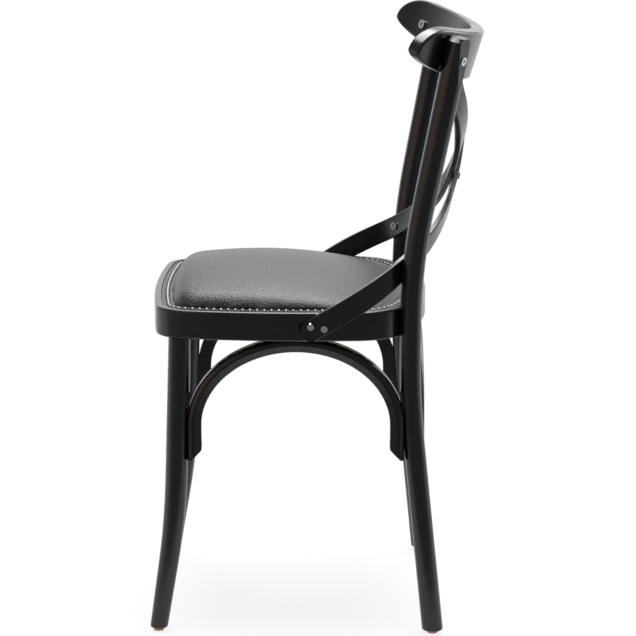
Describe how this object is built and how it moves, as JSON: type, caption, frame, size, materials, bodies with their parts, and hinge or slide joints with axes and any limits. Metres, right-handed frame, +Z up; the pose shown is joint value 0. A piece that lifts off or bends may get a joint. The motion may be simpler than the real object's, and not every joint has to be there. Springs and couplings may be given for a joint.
{
  "type": "bentwood chair",
  "caption": "Bentwood side chair with a crossed-slat back, curved crest rail, bent arch braces and a padded, nail-edged seat on a bent ring.",
  "frame": {"origin": "on the floor, under the middle of the chair's box", "axes": "+Z up, the sitter faces -Y, +X is the sitter's left"},
  "size_m": [0.4874, 0.4799, 0.8671],
  "materials": {
    "black_lacquer": "satin black lacquer over bent beech",
    "plywood": "raw plywood",
    "black_cover": "fine-grained black leather-look cover over foam",
    "bright_nails": "polished",
    "zinc_steel": "bright zinc plate",
    "black_steel": "black oxide",
    "copper_glides": "copper-brown"
  },
  "bodies": {
    "root": {"seat_ring": "black_lacquer", "front_leg_left": "black_lacquer", "front_leg_right": "black_lacquer", "rear_post_left": "black_lacquer", "rear_post_right": "black_lacquer", "crest_rail": "black_lacquer", "back_slat_left": "black_lacquer", "back_slat_right": "black_lacquer", "side_arch_left": "black_lacquer", "side_arch_right": "black_lacquer", "front_arch": "black_lacquer", "rear_arch": "black_lacquer", "seat_panel": "plywood", "seat_cushion": "black_cover", "seat_nails": "bright_nails", "crest_bolts": "zinc_steel", "crest_nuts": "zinc_steel", "slat_lower_bolts": "zinc_steel", "slat_seat_screws": "zinc_steel", "post_bolts": "zinc_steel", "panel_screws": "zinc_steel", "slat_upper_bolts": "black_steel", "slat_cross_screw": "black_steel", "arch_leg_screws": "black_steel", "arch_seat_screws": "black_steel", "glide_front_left": "copper_glides", "glide_front_right": "copper_glides", "glide_rear_left": "copper_glides", "glide_rear_right": "copper_glides"}
  },
  "joints": []
}
